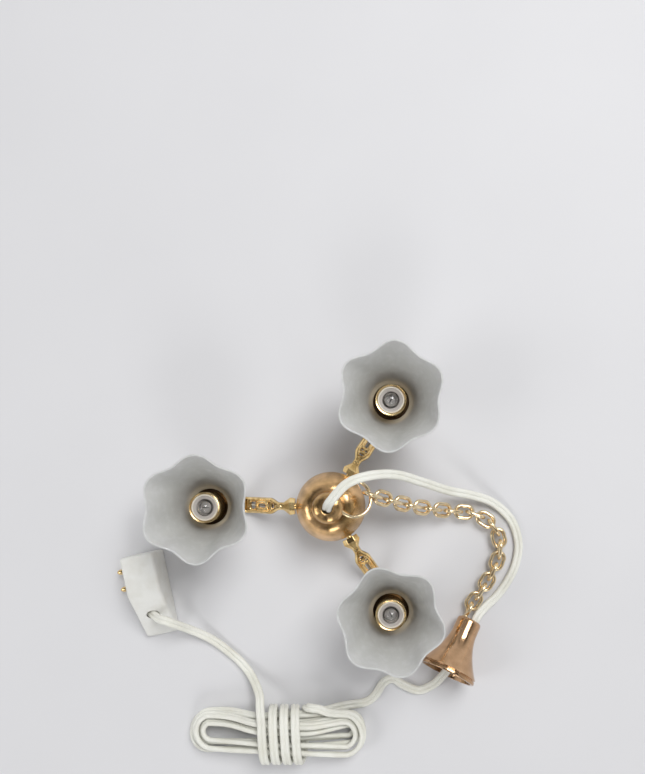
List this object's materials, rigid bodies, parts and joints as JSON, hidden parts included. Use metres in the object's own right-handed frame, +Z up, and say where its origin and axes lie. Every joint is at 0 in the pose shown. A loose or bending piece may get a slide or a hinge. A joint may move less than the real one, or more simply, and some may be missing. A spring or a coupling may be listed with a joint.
{
  "type": "miniature chandelier",
  "caption": "Miniature ceiling light with a turned hub, cast arms, frosted tulip shades and bulbs, laid out with its chain, bell-shaped ceiling rose, wound flex and plug.",
  "frame": {"origin": "centre of the flat foot of the finial under the hub, on the table that the light lies on", "axes": "+Z up along the hub's axis; +X from the hub towards the chain; +Y completes a right-handed frame"},
  "size_m": [0.0746, 0.0741, 0.0186],
  "materials": {
    "rose_gold": "polished rose gold plate",
    "gold": "bright gold plate",
    "frosted_glass": "acid-frosted",
    "bulb_glass": "clear",
    "white_plastic": "moulded, satin",
    "flex_pvc": "soft PVC"
  },
  "bodies": {
    "chandelier": {"hub_finial": "gold", "hub_bowl": "rose_gold", "hub_dome": "rose_gold", "loop_boss": "rose_gold", "centre_stem": "gold", "wire_splice": "white_plastic", "arm_1": "gold", "cup_1": "gold", "socket_tube_1": "gold", "lamp_holder_1": "white_plastic", "shade_1": "frosted_glass", "bulb_lead_1": "flex_pvc", "arm_2": "gold", "cup_2": "gold", "socket_tube_2": "gold", "lamp_holder_2": "white_plastic", "shade_2": "frosted_glass", "bulb_lead_2": "flex_pvc", "arm_3": "gold", "cup_3": "gold", "socket_tube_3": "gold", "lamp_holder_3": "white_plastic", "shade_3": "frosted_glass", "bulb_lead_3": "flex_pvc", "flex_hub_to_rose": "flex_pvc"},
    "ring": {"hanging_ring": "gold"},
    "link_01": {"chain_link_01": "gold"},
    "link_02": {"chain_link_02": "gold"},
    "link_03": {"chain_link_03": "gold"},
    "link_04": {"chain_link_04": "gold"},
    "link_05": {"chain_link_05": "gold"},
    "link_06": {"chain_link_06": "gold"},
    "link_07": {"chain_link_07": "gold"},
    "link_08": {"chain_link_08": "gold"},
    "link_09": {"chain_link_09": "gold"},
    "link_10": {"chain_link_10": "gold"},
    "link_11": {"chain_link_11": "gold"},
    "link_12": {"chain_link_12": "gold"},
    "link_13": {"chain_link_13": "gold"},
    "link_14": {"chain_link_14": "gold"},
    "link_15": {"chain_link_15": "gold"},
    "link_16": {"chain_link_16": "gold"},
    "link_17": {"chain_link_17": "gold"},
    "link_18": {"chain_link_18": "gold"},
    "link_19": {"chain_link_19": "gold"},
    "link_20": {"chain_link_20": "gold"},
    "rose": {"ceiling_rose": "rose_gold", "rose_eye": "gold", "flex_rose_to_hank": "flex_pvc", "flex_hank": "flex_pvc", "flex_hank_to_plug": "flex_pvc", "plug_body": "white_plastic", "plug_pin_left": "gold", "plug_pin_right": "gold"},
    "bulb_1": {"bulb_1": "bulb_glass"},
    "bulb_2": {"bulb_2": "bulb_glass"},
    "bulb_3": {"bulb_3": "bulb_glass"}
  },
  "joints": [
    {"name": "ring_swing", "type": "hinge", "parent": "chandelier", "child": "ring", "pos_m": [0.00164, 0.0006, 0.01354], "axis": [0, 0, 1], "range_deg": [-4, 5], "deforming": ["flex_hub_to_rose"]},
    {"name": "link_01_swing", "type": "hinge", "parent": "ring", "child": "link_01", "pos_m": [0.00662, 0.00241, 0.01129], "axis": [0, 0, 1], "range_deg": [-10, 20], "deforming": ["flex_hub_to_rose"]},
    {"name": "link_02_swing", "type": "hinge", "parent": "link_01", "child": "link_02", "pos_m": [0.00834, 0.00183, 0.01015], "axis": [0, 0, -1], "range_deg": [-20, 10], "deforming": ["flex_hub_to_rose"]},
    {"name": "link_03_swing", "type": "hinge", "parent": "link_02", "child": "link_03", "pos_m": [0.01007, 0.00125, 0.00901], "axis": [0, 0, 1], "range_deg": [-10, 20], "deforming": ["flex_hub_to_rose"]},
    {"name": "link_04_swing", "type": "hinge", "parent": "link_03", "child": "link_04", "pos_m": [0.01181, 0.00071, 0.00786], "axis": [0, 0, -1], "range_deg": [-20, 10], "deforming": ["flex_hub_to_rose"]},
    {"name": "link_05_swing", "type": "hinge", "parent": "link_04", "child": "link_05", "pos_m": [0.01354, 0.00025, 0.00667], "axis": [0, 0, 1], "range_deg": [-10, 20], "deforming": ["flex_hub_to_rose"]},
    {"name": "link_06_swing", "type": "hinge", "parent": "link_05", "child": "link_06", "pos_m": [0.01526, -0.00014, 0.00544], "axis": [0, 0, -1], "range_deg": [-20, 10], "deforming": ["flex_hub_to_rose"]},
    {"name": "link_07_swing", "type": "hinge", "parent": "link_06", "child": "link_07", "pos_m": [0.01705, -0.00047, 0.00429], "axis": [0, 0, 1], "range_deg": [-10, 20], "deforming": ["flex_hub_to_rose"]},
    {"name": "link_08_swing", "type": "hinge", "parent": "link_07", "child": "link_08", "pos_m": [0.01893, -0.00075, 0.00329], "axis": [0, 0, -1], "range_deg": [-20, 10], "deforming": ["flex_hub_to_rose"]},
    {"name": "link_09_swing", "type": "hinge", "parent": "link_08", "child": "link_09", "pos_m": [0.02089, -0.00096, 0.00243], "axis": [0, 0, 1], "range_deg": [-10, 20], "deforming": ["flex_hub_to_rose"]},
    {"name": "link_10_swing", "type": "hinge", "parent": "link_09", "child": "link_10", "pos_m": [0.02293, -0.00118, 0.00179], "axis": [0, 0, -1], "range_deg": [-20, 10], "deforming": ["flex_hub_to_rose"]},
    {"name": "link_11_swing", "type": "hinge", "parent": "link_10", "child": "link_11", "pos_m": [0.02506, -0.00137, 0.00155], "axis": [0, 0, 1], "range_deg": [-10, 20], "deforming": ["flex_hub_to_rose"]},
    {"name": "link_12_swing", "type": "hinge", "parent": "link_11", "child": "link_12", "pos_m": [0.02708, -0.0021, 0.00146], "axis": [0, 0, -1], "range_deg": [-20, 10], "deforming": ["flex_hub_to_rose"]},
    {"name": "link_13_swing", "type": "hinge", "parent": "link_12", "child": "link_13", "pos_m": [0.02889, -0.00326, 0.00149], "axis": [0, 0, 1], "range_deg": [-10, 20], "deforming": ["flex_hub_to_rose"]},
    {"name": "link_14_swing", "type": "hinge", "parent": "link_13", "child": "link_14", "pos_m": [0.03011, -0.00503, 0.0015], "axis": [0, 0, -1], "range_deg": [-20, 10], "deforming": ["flex_hub_to_rose"]},
    {"name": "link_15_swing", "type": "hinge", "parent": "link_14", "child": "link_15", "pos_m": [0.03065, -0.00711, 0.0015], "axis": [0, 0, 1], "range_deg": [-10, 20], "deforming": ["flex_hub_to_rose"]},
    {"name": "link_16_swing", "type": "hinge", "parent": "link_15", "child": "link_16", "pos_m": [0.03049, -0.00925, 0.0015], "axis": [0, 0, -1], "range_deg": [-20, 10], "deforming": ["flex_hub_to_rose"]},
    {"name": "link_17_swing", "type": "hinge", "parent": "link_16", "child": "link_17", "pos_m": [0.02974, -0.01127, 0.0015], "axis": [0, 0, 1], "range_deg": [-10, 20], "deforming": ["flex_hub_to_rose"]},
    {"name": "link_18_swing", "type": "hinge", "parent": "link_17", "child": "link_18", "pos_m": [0.02877, -0.01319, 0.0015], "axis": [0, 0, -1], "range_deg": [-20, 10], "deforming": ["flex_hub_to_rose"]},
    {"name": "link_19_swing", "type": "hinge", "parent": "link_18", "child": "link_19", "pos_m": [0.02764, -0.01502, 0.0015], "axis": [0, 0, 1], "range_deg": [-10, 20], "deforming": ["flex_hub_to_rose"]},
    {"name": "link_20_swing", "type": "hinge", "parent": "link_19", "child": "link_20", "pos_m": [0.02646, -0.01681, 0.0015], "axis": [0, 0, -1], "range_deg": [-20, 10], "deforming": ["flex_hub_to_rose"]},
    {"name": "rose_swing", "type": "hinge", "parent": "link_20", "child": "rose", "pos_m": [0.02519, -0.01855, 0.0015], "axis": [0, 0, 1], "range_deg": [-10, 20], "deforming": ["flex_hub_to_rose"]},
    {"name": "bulb_1_pull", "type": "slide", "parent": "chandelier", "child": "bulb_1", "axis": [0, 0, 1], "range_m": [0, 0.015]},
    {"name": "bulb_2_pull", "type": "slide", "parent": "chandelier", "child": "bulb_2", "axis": [0, 0, 1], "range_m": [0, 0.015]},
    {"name": "bulb_3_pull", "type": "slide", "parent": "chandelier", "child": "bulb_3", "axis": [0, 0, 1], "range_m": [0, 0.015]}
  ]
}
